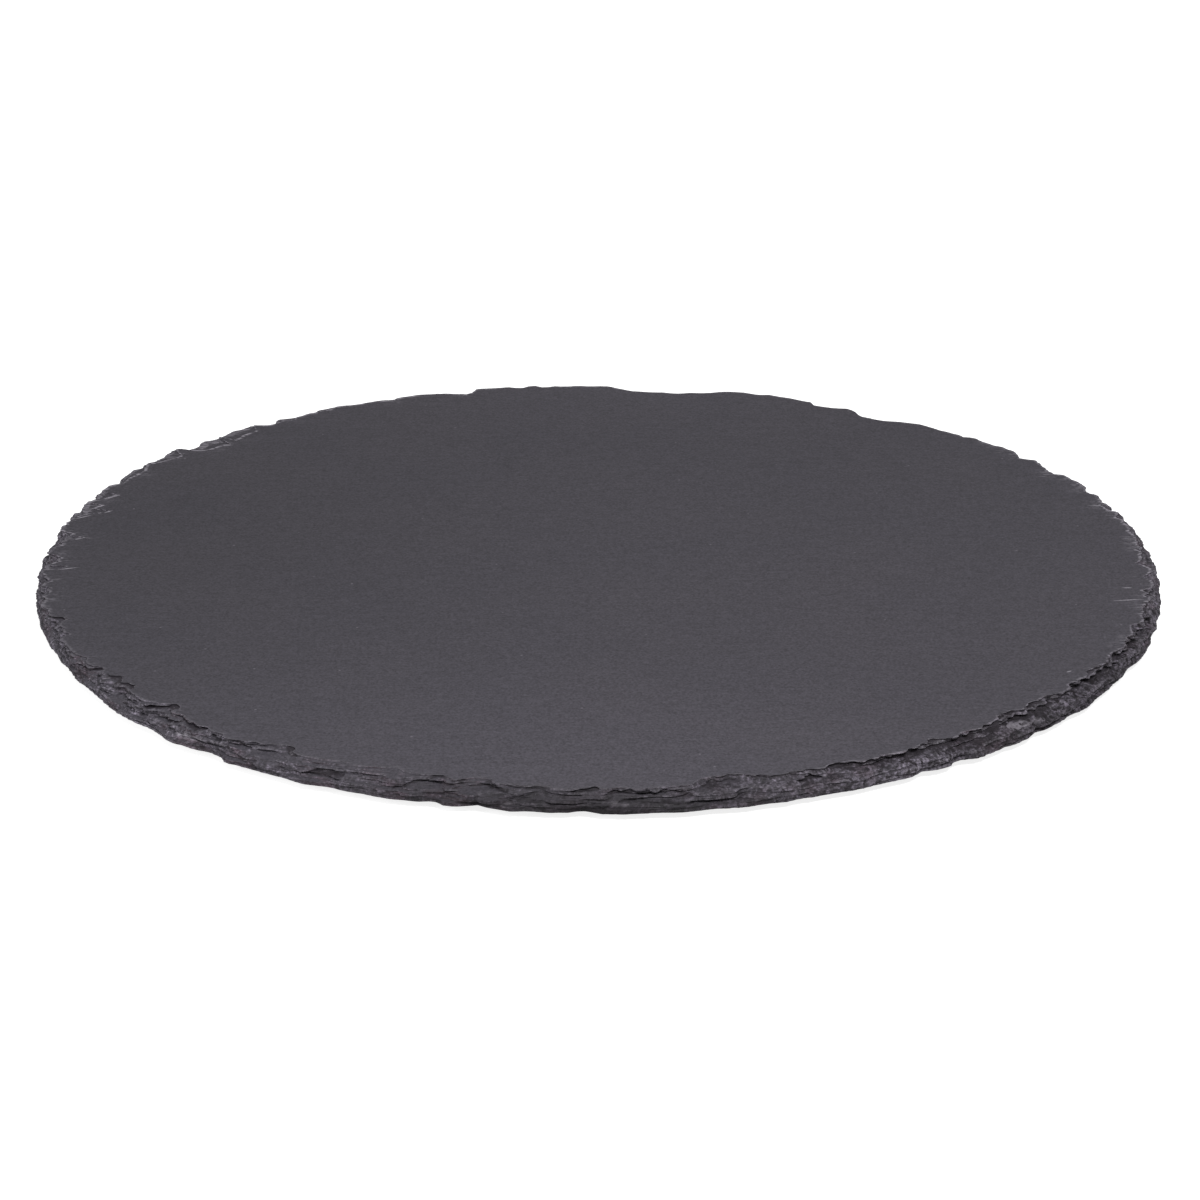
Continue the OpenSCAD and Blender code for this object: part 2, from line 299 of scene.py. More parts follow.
# The slate board itself. Its outline, dressed edge and larger flakes are the CAD solid's; the beds
# are then split into thin layers, and each layer's lip is broken back along the grain.
slate = {
    "columnMm": 0.5,  # spacing of the points round the edge
    "coreMm": 128,  # inside this radius the serving face is one calm surface
    "underCoreMm": 137,
    "faceGridMm": 3,  # spacing of the points inside the core
    "underGridMm": 8,
    "gridClear": 0.8,  # share of the spacing that a grid keeps clear of its rim
    "joinMm": 1e-6,
    # from the underside up, each layer's foot as a share of the thickness, how loose its lip is and how
    # far it peels; the last one is the skin of the serving face
    "layers": (
        (0, 0.3, 0), (0.09, 0.5, 0), (0.2, 0.8, 0), (0.28, 0.6, 0), (0.4, 1, 0), (0.49, 0.6, 0),
        (0.57, 0.7, 0), (0.67, 1, 0), (0.76, 0.8, 0.1), (0.87, 1, 0.3), (0.945, 0.5, 1),
    ),
    "ledgeMm": 0.03,  # fall of a ledge from one layer to the next
    # where the faces have rings of points, as shares of the way in from the edge to the core
    "faceInsets": (0.03, 0.08, 0.2, 0.45, 1),
    "underInsets": (0.15, 1),
    "breakMm": 1.4,  # farthest that a lip of the edge is broken back
    "peelMm": 6,  # farthest that the skin has peeled
    "peelSpan": 2.5,  # flaws of the peeling skin are longer and wider by this share
    "breakSteps": 40,  # steps in which a lip breaks back
    "layerShares": (0.1, 0.5, 0.9),  # where in a layer its foot, middle and lip meet the solid
    "crushHold": 0.6,  # share of its looseness that a lip loses where the break is crushed
    "biteWaves": (31, 53, 83),  # waves round the board that say where a crushed skin is bitten away
    "markWaves": (43, 107, 229),  # waves round the board that make the marks uneven
    "markSwingMm": 0.25,  # how far a mark's line swings up and down
    "markWidth": 0.5,  # share by which its width swings
    "markShift": 40,  # columns by which the width lags behind the line
    "markTip": 0.01,  # share of its width that a mark keeps at its tips
    "lipTail": 0.3,  # past its end a lip falls back over this share of its length
    # the next eight tables have a value every 15 degrees round from +X; how far the skin has peeled:
    "peel": (0.7, 0.4, 0.2, 0.15, 0.1, 0.1, 0.1, 0.2, 0.3, 0.3, 0.3, 0.5,
             0.5, 0.2, 0.4, 0.5, 0.4, 0.4, 0.3, 0.3, 0.12, 0.08, 0.08, 0.2),
    # how loose the lips are
    "loose": (1, 0.8, 0.7, 0.6, 0.6, 0.6, 0.5, 0.4, 0.35, 0.35, 0.4, 0.5,
              0.6, 0.8, 0.9, 0.9, 0.8, 0.6, 0.45, 0.5, 0.5, 0.5, 0.7, 0.9),
    # how gritty the break is
    "grit": (0.9, 0.7, 0.6, 0.5, 0.5, 0.5, 0.4, 0.4, 0.4, 0.4, 0.5, 0.6,
             0.8, 0.9, 1, 0.9, 0.6, 0.4, 0.4, 0.7, 1, 1, 1, 1),
    # how far the corners are bruised and dusty
    "dust": (1.5, 1.5, 0.9, 0.4, 0.3, 0.3, 0.6, 1.2, 1.8, 2, 2, 1.8,
             1, 0.5, 0.3, 0.3, 0.2, 0.2, 0.2, 0.4, 0.8, 0.8, 0.9, 0.9),
    # how far the break is crushed, so that no layers show
    "crush": (0.7, 0.4, 0.1, 0, 0, 0, 0, 0, 0, 0, 0, 0,
              0, 0, 0, 0, 0, 0, 0.2, 0.8, 1, 1, 1, 1),
    # how much painted shade darkens the break
    "shade": (0.2, 0.12, 0, 0, 0, 0, 0.1, 0.15, 0.15, 0.15, 0.15, 0.1,
              0.1, 0.04, 0, 0.05, 0.16, 0.39, 0.63, 0.42, 0.12, 0.4, 0.4, 0.22),
    # the way that the breaks run, in degrees
    "run": (0, 0, -5, -10, -10, 0, 10, 20, 25, 28, 25, 15,
            5, -5, -8, -8, -5, 0, 0, 5, 8, 5, 0, 0),
    # how clear the scratches along the grain are
    "comb": (1.2, 1.2, 0.8, 0.1, 0, 0, 0.1, 0.2, 0.4, 0.5, 0.6, 0.8,
             0.9, 0.5, 0.2, 0, 0, 0, 0, 0, 0, 0.1, 0.4, 0.9),
    # lips where flakes of the skin have come away along the grain: turn and inset mm at either end
    "lips": (
        (125.9, 0, 121.9, 1.2), (130.5, 0.5, 127.4, 2.6), (137, 5, 133, 5), (142.6, 2, 138.5, 7.9),
        (149.2, 0.3, 144.5, 4.6), (155.2, 1, 150.6, 3.4), (160.5, 2, 158.6, 5.7), (163.4, 3, 162.1, 5.6),
        (164.8, 5, 163.6, 7.9), (166.8, 0.3, 164.9, 4.1), (173.4, 1.5, 172.1, 5.1), (182, 3, 180.9, 7),
        (97, 0.4, 90, 1.2), (112, 0.3, 106, 1.4), (317.3, 0.5, 313.6, 2.2), (322.7, 0.3, 318.2, 1.7),
        (327.2, 0.2, 324.6, 1.5), (331.8, 0, 328.8, 1.9), (336.4, 0, 333, 1.1), (342, 0, 337.9, 1),
        (352, 0, 347, 1.4),
    ),
    # the clearest marks of the hammer: turn and height share at either end, half height and depth in
    # mm, and a tone from painted crevice shade (-1) through plain scar (0) to crushed and pale (1)
    "marks": (
        (194, 0.9, 197.5, 0.95, 0.35, 1.4, -1), (207, 0.75, 211.5, 0.95, 0.25, 1, -0.8),
        (212, 0.95, 217, 0.97, 0.4, 1.2, -0.9), (215, 0.5, 219.8, 0.9, 0.2, 0.8, -0.8),
        (220.3, 0.78, 224, 0.95, 0.4, 1.2, -1), (223, 0.55, 226, 0.8, 0.4, 1, -1),
        (225.6, 0.88, 229.5, 0.85, 0.3, 0.9, -0.9), (230.5, 0.8, 236.8, 0.88, 0.8, 0.9, -0.3),
        (236, 0.75, 240.5, 0.85, 0.9, 0.5, 0), (238.5, 0.9, 240.6, 0.92, 0.52, 0.5, -0.8),
        (242, 0.5, 246, 0.6, 0.9, 0.9, -0.6), (251, 0.45, 255, 0.97, 0.38, 0.44, -0.64),
        (254.5, 0.72, 261, 0.75, 0.9, 0.8, 0), (254.7, 0.97, 258, 0.95, 0.3, 0.33, -0.56),
        (258, 0.8, 262, 0.78, 0.45, 0.66, -0.8), (262.3, 0.97, 264, 0.97, 0.3, 0.33, -0.56),
        (262, 0.45, 270, 0.4, 0.38, 0.39, -0.48), (267.3, 0.93, 270.3, 0.9, 0.52, 0.72, -0.8),
        (271, 0.84, 277.6, 0.84, 0.6, 0.88, -0.8), (272, 0.5, 279, 0.35, 0.45, 0.44, -0.56),
        (277, 0.87, 279.5, 0.5, 0.52, 0.39, -0.56), (279.5, 0.75, 284, 0.7, 0.38, 0.39, -0.56),
        (281, 0.96, 292, 0.96, 0.3, 0.44, -0.64), (280.5, 0.8, 290.5, 0.84, 0.8, 0.9, 0),
        (289, 0.68, 291.6, 0.72, 0.6, 1.2, -0.9), (292, 0.93, 295, 0.86, 0.6, 0.66, -0.72),
        (293, 0.85, 304, 0.72, 0.9, 1, -0.6), (294.6, 0.9, 300, 0.87, 0.35, 1.4, -0.9),
        (299.4, 0.87, 304, 0.84, 0.8, 1.6, -1), (303, 0.84, 309, 0.78, 1, 1.5, -0.9),
        (304, 0.6, 312, 0.55, 1, 0.9, -0.6), (307.6, 0.82, 315, 0.84, 0.8, 1.4, -1),
        (313, 0.75, 321, 0.74, 1, 1.4, -0.9), (313.5, 0.97, 319.6, 0.97, 0.25, 0.9, -0.8),
        (320.2, 0.84, 323.6, 0.86, 0.6, 1.4, -1), (323.6, 0.84, 327.6, 0.82, 0.9, 1.7, -1),
        (327.2, 0.7, 334, 0.62, 1.1, 1.8, -0.9), (332.8, 0.82, 336.8, 0.74, 0.8, 1.7, -1),
        (336.4, 0.78, 342, 0.62, 1, 1.7, -0.9), (342, 0.7, 349.6, 0.5, 0.9, 1.6, -0.8),
        (226.5, 0.45, 230, 0.5, 0.8, 0.3, 1), (230.6, 0.6, 232.8, 0.6, 0.5, 0.2, 0.8),
        (261.2, 0.25, 262.6, 0.22, 0.6, 0, 1), (271.2, 0.45, 273, 0.35, 0.8, 0, 1),
        (313.2, 0.62, 318, 0.5, 0.8, 0.2, 1),
    ),
    # spans of the node tree's patterns, and what they become
    "spans": {
        "flaw": (0.3, 0.7, 0.0, 1.0),
        "scar": (0.0, 0.7, 1.0, 0.0),
        "gritPatch": (0.35, 0.65, 0.5, 1.3),
        "gritSkin": (10.0, 10.5, 1.0, 0.35),
        "steep": (0.65, 0.97, 1.0, 0.0),
    },
    "tree": {  # the named inputs of the node tree
        "Outside": 160 * mm,
        "Ray Length": 100 * mm,
        "Along Grain": 8 * mm,
        "Across Grain": 1.4 * mm,
        "Through Layers": 1.2 * mm,
        "Lean": 0.3,
        "Chance": 0.75,
        "Layer Wander": 0.35 * mm,
        "Layer Pitch": 16 * mm,
        "Top Fade": 0.5,
        "Scar Depth": 0.7 * mm,
        "Scar Length": 9 * mm,
        "Scar Height": 2.2 * mm,
        "Grit Depth": 0.5 * mm,
        "Outset": 0.5 * mm,
        "Grit Size": 1.3 * mm,
        "Relief Depth": 0.12 * mm,
        "Relief Size": 30 * mm,
        "Hollow Depth": 0.15 * mm,
        "Seed": 7.0,
    },
}


def discPoints(radius, spacing, clear):
    # a triangular grid of points, its rim kept clear by a share of the spacing
    rows = int(radius / spacing / math.sin(math.pi / 3))
    found = []
    for row in range(-rows, rows + 1):
        y = row * spacing * math.sin(math.pi / 3)
        for step in range(-rows - 2, rows + 3):
            x = (step + (row % 2) / 2) * spacing
            if math.hypot(x, y) < radius - spacing * clear:
                found.append((x, y))
    return found


def sumWaves(turn, waves):
    return sum(np.sin(turn * wave + wave) for wave in waves)


def makeSlateBlank(size, low, high, columns):
    # rings of points from the underside, up the edge and in over the face, then a grid inside each
    thickness = high - low
    planes = [layer[0] for layer in size["layers"]] + [1]
    underCore, faceCore = size["underCoreMm"] * mm, size["coreMm"] * mm
    ringParts = ("height", "sample", "middle", "inset", "core", "layer", "edge", "face", "plane")
    rings = []
    for inset in reversed(size["underInsets"]):
        sample, middle = (low + share * (thickness * planes[1]) for share in size["layerShares"][:2])
        rings.append((low, sample, middle, inset, underCore, 0, 0, -1, 0))
    for k in range(len(planes) - 1):
        foot, lip = low + thickness * planes[k], low + thickness * planes[k + 1]
        middle = (foot + lip) / 2
        fall = size["ledgeMm"] * mm / 2
        ends = (foot + (fall if k else 0), middle, lip - (fall if k < len(planes) - 2 else 0))
        for share, height, plane in zip(size["layerShares"], ends, (k, k + 0.5, k + 1)):
            sample = foot + share * (lip - foot)
            rings.append((height, sample, middle, 0, faceCore, k, 1, 0, plane))
    for inset in size["faceInsets"]:
        rings.append((high, sample, middle, inset, faceCore, k, 0, 1, plane))
    turns = np.arange(columns) * 2 * math.pi / columns
    rings = np.array(rings)
    table = np.repeat(rings, columns, axis=0)
    turn = np.tile(turns, len(rings))
    cores = np.stack([np.cos(turn), np.sin(turn), np.zeros_like(turn)], -1) * table[:, [ringParts.index("core")]]
    strips = []
    for ring in range(len(rings) - 1):
        here = ring * columns + np.arange(columns)
        there = ring * columns + (np.arange(columns) + 1) % columns
        strips.append(np.stack([here, there, there + columns, here + columns], -1))
    faces = [tuple(f) for f in np.concatenate(strips).tolist()]
    for start, radius, spacing, ring, up in (
        (0, underCore, size["underGridMm"] * mm, rings[0], False),
        ((len(rings) - 1) * columns, faceCore, size["faceGridMm"] * mm, rings[-1], True),
    ):
        inner = discPoints(radius, spacing, size["gridClear"])
        rim = [(radius * math.cos(t), radius * math.sin(t)) for t in turns]
        made = geometry.delaunay_2d_cdt([Vector(p) for p in rim + inner], [], [], 0, size["joinMm"] * mm)
        first = len(cores)
        names = [start + i if i < columns else first + i - columns for i in range(columns + len(inner))]
        origin = [found[0] for found in made[3]]
        for triangle in made[2]:
            loop = [names[origin[i]] for i in triangle]
            faces.append(tuple(loop if up else reversed(loop)))
        cores = np.concatenate([cores, [(x, y, 0) for x, y in inner]])
        table = np.concatenate([table, np.repeat([ring], len(inner), axis=0)])
        turn = np.concatenate([turn, np.zeros(len(inner))])
    mesh = bpy.data.meshes.new("slateBlank")
    mesh.from_pydata(cores.tolist(), [], faces)
    part = dict(zip(ringParts, table.T))
    every = np.linspace(0, 2 * math.pi, len(size["peel"]) + 1)
    round15 = {name: np.interp(turn, every, (*size[name], size[name][0]))
               for name in ("peel", "loose", "grit", "crush", "dust", "shade", "comb", "run")}
    loose, peel = (np.array([layer[i] for layer in size["layers"]])[part["layer"].astype(int)] for i in (1, 2))
    fine = 1 / (1 + size["peelSpan"] * peel)
    held = round15["loose"] * (1 - size["crushHold"] * round15["crush"])
    # a crushed skin holds along some stretches, and is bitten away between them
    bites = np.clip(sumWaves(turn, size["biteWaves"]), 0, 2)
    bitten = round15["peel"] * (1 - round15["crush"] * (1 - bites))
    limit = (size["breakMm"] * held * loose * (1 - peel) + size["peelMm"] * bitten * peel) * mm
    # how far the skin's flakes have come away, rising along each lip and falling back quickly past its end
    lip = np.zeros(len(turn))
    for start, first, end, last in size["lips"]:
        along = (np.degrees(turn) - start) / (end - start)
        inset = np.where(along <= 1, first + (last - first) * along, last * (1 - (along - 1) / size["lipTail"]))
        lip = np.maximum(lip, inset * (along >= 0) * (peel == 1) * mm)
    # the marks, as a depth and a tone at each point; their lines and widths are uneven
    scoop, tone = np.zeros(len(turn)), np.zeros(len(turn))
    uneven = sumWaves(turn, size["markWaves"]) / len(size["markWaves"])
    wide = 1 + size["markWidth"] * np.roll(uneven, size["markShift"])
    for start, startShare, end, endShare, half, depth, shade in size["marks"]:
        along = (np.degrees(turn) - start) / (end - start)
        lens = np.sqrt(np.clip(1 - (2 * along - 1) ** 2, 0, 1))
        middle = low + thickness * (startShare + (endShare - startShare) * along)
        reach = half * mm * wide
        swing = part["height"] - middle - uneven * size["markSwingMm"] * mm
        off = np.abs(swing) / (reach * np.maximum(lens, size["markTip"]))
        shape = np.clip(1 - off ** 2, 0, 1) * (lens > 0) * part["edge"]
        scoop = np.maximum(scoop, shape * depth * mm)
        tone = np.where(np.abs(shape * shade) > np.abs(tone), shape * shade, tone)
    values = {"turn": turn, "lip": lip, "scoop": scoop, "tone": tone, "run": np.radians(round15["run"])}
    values |= {name: part[name] for name in ("height", "sample", "middle", "inset", "edge", "face", "plane")}
    values |= {"limit": limit, "fine": fine}
    values |= {name: round15[name] for name in ("grit", "crush", "dust", "shade", "comb")}
    for name, data in values.items():
        mesh.attributes.new(name, "FLOAT", "POINT").data.foreach_set("value", data.astype(np.float32))
    return bpy.data.objects.new("slateBlank", mesh)


def makeEdgeTree(size, low, high):
    # wraps the blank on the solid, breaks each layer's lip back along the grain, then adds scars,
    # grit and relief
    spans, steps = size["spans"], size["breakSteps"]
    sizes = {**size["tree"], "Layers": float(len(size["layers"]))}
    tree = bpy.data.node_groups.new("slate edge", "GeometryNodeTree")
    tree.interface.new_socket("Geometry", in_out="INPUT", socket_type="NodeSocketGeometry")
    tree.interface.new_socket("Solid", in_out="INPUT", socket_type="NodeSocketObject")
    tree.interface.new_socket("Stone", in_out="INPUT", socket_type="NodeSocketMaterial")
    for name, value in sizes.items():
        tree.interface.new_socket(name, in_out="INPUT", socket_type="NodeSocketFloat").default_value = value
    tree.interface.new_socket("Geometry", in_out="OUTPUT", socket_type="NodeSocketGeometry")
    given = tree.nodes.new("NodeGroupInput").outputs

    def stored(name, kind="FLOAT"):
        return addNode(tree, "GeometryNodeInputNamedAttribute", {"data_type": kind}, {"Name": name}).outputs[0]

    def store(shape, name, value, domain="POINT"):
        settings = {"data_type": "FLOAT", "domain": domain}
        inputs = {"Geometry": shape, "Name": name, "Value": value}
        return addNode(tree, "GeometryNodeStoreNamedAttribute", settings, inputs).outputs[0]

    def place(shape, **inputs):
        return addNode(tree, "GeometryNodeSetPosition", inputs={"Geometry": shape, **inputs}).outputs[0]

    read = {name: stored(name) for name in ("turn", "height", "sample", "middle", "inset", "edge", "face", "plane",
                                            "limit", "fine", "grit", "crush", "run", "lip", "scoop", "back")}
    position = addNode(tree, "GeometryNodeInputPosition").outputs[0]
    cosine = calc(tree, "COSINE", read["turn"])
    sine = calc(tree, "SINE", read["turn"])
    outward = addNode(tree, "ShaderNodeCombineXYZ", inputs={0: cosine, 1: sine}).outputs[0]
    flat = scaleVector(tree, outward, given["Outside"])
    # the planes between the layers wander up and down, but not the board's two faces
    pitch = calc(tree, "DIVIDE", 1.0, given["Layer Pitch"])
    wave = addNode(tree, "ShaderNodeTexNoise", {"noise_dimensions": "4D"}, {
        "Vector": flat, "W": read["plane"], "Scale": pitch, "Detail": 1.0})
    inner = remap(tree, read["plane"], 0.0, 1.0, 0.0, 1.0)
    topGap = calc(tree, "SUBTRACT", given["Layers"], read["plane"])
    topFade = calc(tree, "MULTIPLY", topGap, given["Top Fade"], clamp=True)
    fade = calc(tree, "MULTIPLY", inner, topFade)
    swing = remap(tree, wave.outputs[0], 0.0, 1.0, -1.0, 1.0, clamp=False)
    swingSize = calc(tree, "MULTIPLY", fade, given["Layer Wander"])
    shift = calc(tree, "MULTIPLY", swing, swingSize)
    level = calc(tree, "ADD", read["height"], shift)
    sampled = calc(tree, "ADD", read["sample"], shift)
    # each point falls on the solid's edge at the sampled height
    lift = addNode(tree, "ShaderNodeCombineXYZ", inputs={2: sampled})
    start = calcVector(tree, "ADD", flat, lift.outputs[0])
    inwardRay = scaleVector(tree, outward, -1.0)
    solid = addNode(tree, "GeometryNodeObjectInfo", {"transform_space": "RELATIVE"}, {"Object": given["Solid"]})
    ray = addNode(tree, "GeometryNodeRaycast", inputs={
        "Target Geometry": solid.outputs["Geometry"], "Source Position": start,
        "Ray Direction": inwardRay, "Ray Length": given["Ray Length"]})
    plan = calcVector(tree, "MULTIPLY", ray.outputs["Hit Position"], (1, 1, 0))
    middle = addNode(tree, "ShaderNodeCombineXYZ", inputs={2: read["middle"]})
    wrapped = calcVector(tree, "ADD", plan, middle.outputs[0])
    onSolid = place(given["Geometry"], Position=wrapped)
    # the way a lip breaks back: inwards, leaning along the grain
    leaning = calc(tree, "ADD", given["Lean"], 1.0)
    leanX = calc(tree, "MULTIPLY", cosine, leaning)
    leanWay = addNode(tree, "ShaderNodeCombineXYZ", inputs={0: leanX, 1: sine}).outputs[0]
    reach = calcVector(tree, "DOT_PRODUCT", leanWay, outward, result="Value")
    evened = calc(tree, "DIVIDE", -1.0, reach)
    inward = scaleVector(tree, leanWay, evened)
    # each layer breaks back, a step at a time, until it meets sound stone
    unbroken = store(onSolid, "back", read["lip"])
    repeatStart = tree.nodes.new("GeometryNodeRepeatInput")
    repeatEnd = tree.nodes.new("GeometryNodeRepeatOutput")
    repeatStart.pair_with_output(repeatEnd)
    repeatStart.inputs["Iterations"].default_value = steps
    tree.links.new(unbroken, repeatStart.inputs["Geometry"])
    moved = scaleVector(tree, inward, read["back"])
    here = calcVector(tree, "ADD", position, moved)
    against = calc(tree, "MULTIPLY", read["run"], -1.0)
    turned = addNode(tree, "ShaderNodeVectorRotate", {"rotation_type": "Z_AXIS"}, {
        "Vector": here, "Angle": against})
    grain = addNode(tree, "ShaderNodeCombineXYZ", inputs={
        0: given["Along Grain"], 1: given["Across Grain"], 2: given["Through Layers"]})
    grained = calcVector(tree, "DIVIDE", turned.outputs[0], grain.outputs[0])
    sized = scaleVector(tree, grained, read["fine"])
    flaws = addNode(tree, "ShaderNodeTexNoise", {"noise_dimensions": "4D"}, {
        "Vector": sized, "W": given["Seed"], "Scale": 1.0, "Detail": 2.0, "Roughness": 0.55})
    strength = remap(tree, flaws.outputs[0], *spans["flaw"])
    spent = calc(tree, "DIVIDE", read["back"], read["limit"])
    left = calc(tree, "SUBTRACT", 1.0, spent)
    chance = calc(tree, "MULTIPLY", given["Chance"], left)
    breaks = calc(tree, "LESS_THAN", strength, chance)
    stride = calc(tree, "DIVIDE", read["limit"], float(steps))
    deeper = calc(tree, "MULTIPLY_ADD", breaks, stride, read["back"])
    stepped = store(repeatStart.outputs["Geometry"], "back", deeper)
    tree.links.new(stepped, repeatEnd.inputs["Geometry"])
    # the broken place, or on the faces a place between there and the core
    planned = addNode(tree, "ShaderNodeMix", {"data_type": "VECTOR"}, {
        0: read["inset"], 4: here, 5: stored("core", "FLOAT_VECTOR")})
    ground = calcVector(tree, "MULTIPLY", planned.outputs[1], (1, 1, 0))
    height = addNode(tree, "ShaderNodeCombineXYZ", inputs={2: level})
    placed = calcVector(tree, "ADD", ground, height.outputs[0])
    broken = place(repeatEnd.outputs["Geometry"], Position=placed)
    # struck scars and grit go inwards on the edge; relief goes into the stone on both faces
    scarSize = addNode(tree, "ShaderNodeCombineXYZ", inputs={
        0: given["Scar Length"], 1: given["Scar Length"], 2: given["Scar Height"]})
    scarPlace = calcVector(tree, "DIVIDE", position, scarSize.outputs[0])
    scars = addNode(tree, "ShaderNodeTexVoronoi", inputs={"Vector": scarPlace, "Scale": 1.0})
    scarShape = remap(tree, scars.outputs["Distance"], *spans["scar"])
    scarDepth = calc(tree, "MULTIPLY", scarShape, given["Scar Depth"])
    gritScale = calc(tree, "DIVIDE", 1.0, given["Grit Size"])
    gritNoise = addNode(tree, "ShaderNodeTexNoise", inputs={
        "Vector": position, "Scale": gritScale, "Detail": 2.0, "Roughness": 0.7})
    gritShare = calc(tree, "ADD", read["grit"], read["crush"])
    # grit comes in patches, and hardly marks the lip of the skin
    gritPatch = remap(tree, wave.outputs[0], *spans["gritPatch"])
    gritSkin = remap(tree, read["plane"], *spans["gritSkin"])
    gritPart = calc(tree, "MULTIPLY", gritPatch, gritSkin)
    gritHere = calc(tree, "MULTIPLY", gritShare, gritPart)
    gritSize = calc(tree, "MULTIPLY", gritHere, given["Grit Depth"])
    struck = calc(tree, "MULTIPLY_ADD", gritSize, gritNoise.outputs[0], scarDepth)
    marked = calc(tree, "ADD", struck, read["scoop"])
    # scars and grit only take stone away, so the edge first swells by about what they take
    swollen = calc(tree, "SUBTRACT", marked, given["Outset"])
    edgeDepth = calc(tree, "MULTIPLY", swollen, read["edge"])
    edgeMove = scaleVector(tree, inward, edgeDepth)
    reliefScale = calc(tree, "DIVIDE", 1.0, given["Relief Size"])
    reliefNoise = addNode(tree, "ShaderNodeTexNoise", {"noise_dimensions": "4D"}, {
        "Vector": position, "W": given["Seed"], "Scale": reliefScale, "Detail": 3.0})
    reliefSide = calc(tree, "MULTIPLY", read["face"], given["Relief Depth"])
    reliefDepth = calc(tree, "MULTIPLY", reliefSide, reliefNoise.outputs[0])
    reliefMove = scaleVector(tree, (0, 0, -1), reliefDepth)
    offset = calcVector(tree, "ADD", edgeMove, reliefMove)
    rough = place(broken, Offset=offset)
    # no point may leave the solid's box
    raised = calcVector(tree, "MAXIMUM", position, low)
    inside = calcVector(tree, "MINIMUM", raised, high)
    boxed = place(rough, Position=inside)
    # how hollow the surface is at a point: above zero in a cleft, below it on a sharp corner
    blurred = addNode(tree, "GeometryNodeBlurAttribute", {"data_type": "FLOAT_VECTOR"}, {
        "Value": position, "Iterations": 5})
    change = calcVector(tree, "SUBTRACT", blurred.outputs[0], position)
    normal = addNode(tree, "GeometryNodeInputNormal").outputs[0]
    along = calcVector(tree, "DOT_PRODUCT", change, normal, result="Value")
    hollowed = store(boxed, "hollow", calc(tree, "DIVIDE", along, given["Hollow Depth"]))
    # a flat ledge looks like the split face, and a steep one like a break
    upward = addNode(tree, "ShaderNodeSeparateXYZ", inputs={0: normal}).outputs[2]
    steep = remap(tree, upward, *spans["steep"], interpolation_type="SMOOTHSTEP")
    steepEdge = calc(tree, "MULTIPLY", steep, read["edge"])
    steepMarked = store(hollowed, "broken", steepEdge, "FACE")
    real = addNode(tree, "GeometryNodeRealizeInstances", inputs={0: steepMarked})
    dressed = addNode(tree, "GeometryNodeSetMaterial", inputs={
        "Geometry": real.outputs[0], "Material": given["Stone"]})
    addNode(tree, "NodeGroupOutput", inputs={0: dressed.outputs[0]})
    return tree


def applyTree(blank, tree, inputs, name):
    # runs the tree on the blank, and returns the result as a plain mesh
    bpy.context.scene.collection.objects.link(blank)
    modifier = blank.modifiers.new("tree", "NODES")
    modifier.node_group = tree
    for item in tree.interface.items_tree:
        if item.in_out == "INPUT" and item.name in inputs:
            modifier[item.identifier] = inputs[item.name]
    blank.update_tag()
    evaluated = blank.evaluated_get(bpy.context.evaluated_depsgraph_get())
    mesh = bpy.data.meshes.new_from_object(evaluated)
    blank.modifiers.remove(modifier)
    bpy.data.objects.remove(blank)
    mesh.name = name
    piece = bpy.data.objects.new(name, mesh)
    bpy.context.scene.collection.objects.link(piece)
    return piece


def makeSlate(size):
    low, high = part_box("slate_slab")
    columns = round(math.pi * (high.x - low.x) / (size["columnMm"] * mm))
    blank = makeSlateBlank(size, low.z, high.z, columns)
    core = blank.data.attributes.new("core", "FLOAT_VECTOR", "POINT")
    places = np.zeros(len(blank.data.vertices) * 3, np.float32)
    blank.data.vertices.foreach_get("co", places)
    core.data.foreach_set("vector", places)
    tree = makeEdgeTree(size, low, high)
    stone = makeSlateMaterial(slateLook)
    board = applyTree(blank, tree, {"Solid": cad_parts["slate_slab"], "Stone": stone}, "slateBoard")
    edges = np.zeros(len(board.data.vertices), np.float32)
    board.data.attributes["edge"].data.foreach_get("value", edges)
    for face in board.data.polygons:
        face.use_smooth = bool(max(edges[v] for v in face.vertices) < 0.5)
    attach(board, "root")
    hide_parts("slate_slab")
    corners = sum(len(face.vertices) - 2 for face in board.data.polygons)
    print("slate board:", len(board.data.vertices), "points,", corners, "triangles")


# Closed-cell foam, die-cut: soft black, quite matt, with cells that just show.
foamLook = {"dark": "#121213", "pale": "#2a2a2c", "cellMm": 0.35, "cellDepthMm": 0.1}


def makeFoamMaterial(look):
    material, tree = newMaterial("black foam, die-cut")
    place = addNode(tree, "ShaderNodeTexCoord").outputs["Object"]
    cells = addNode(tree, "ShaderNodeTexVoronoi", inputs={"Vector": place, "Scale": 1 / (look["cellMm"] * mm)})
    tone = blend(tree, cells.outputs["Distance"], hexColour(look["dark"]), hexColour(look["pale"]))
    bump = addNode(tree, "ShaderNodeBump", inputs={
        "Strength": 0.5, "Distance": look["cellDepthMm"] * mm, "Height": cells.outputs["Distance"]})
    shader = addNode(tree, "ShaderNodeBsdfPrincipled", inputs={
        "Base Color": tone, "Roughness": 0.85, "Normal": bump.outputs[0], "Specular IOR Level": 0.3})
    addNode(tree, "ShaderNodeOutputMaterial", inputs={0: shader.outputs[0]})
    return material


# Acrylic adhesive on a paper-white film, seen only as a thin line between foot and slate.
filmLook = {"dark": "#a9a598", "pale": "#c2beb2", "cloudMm": 1.5}


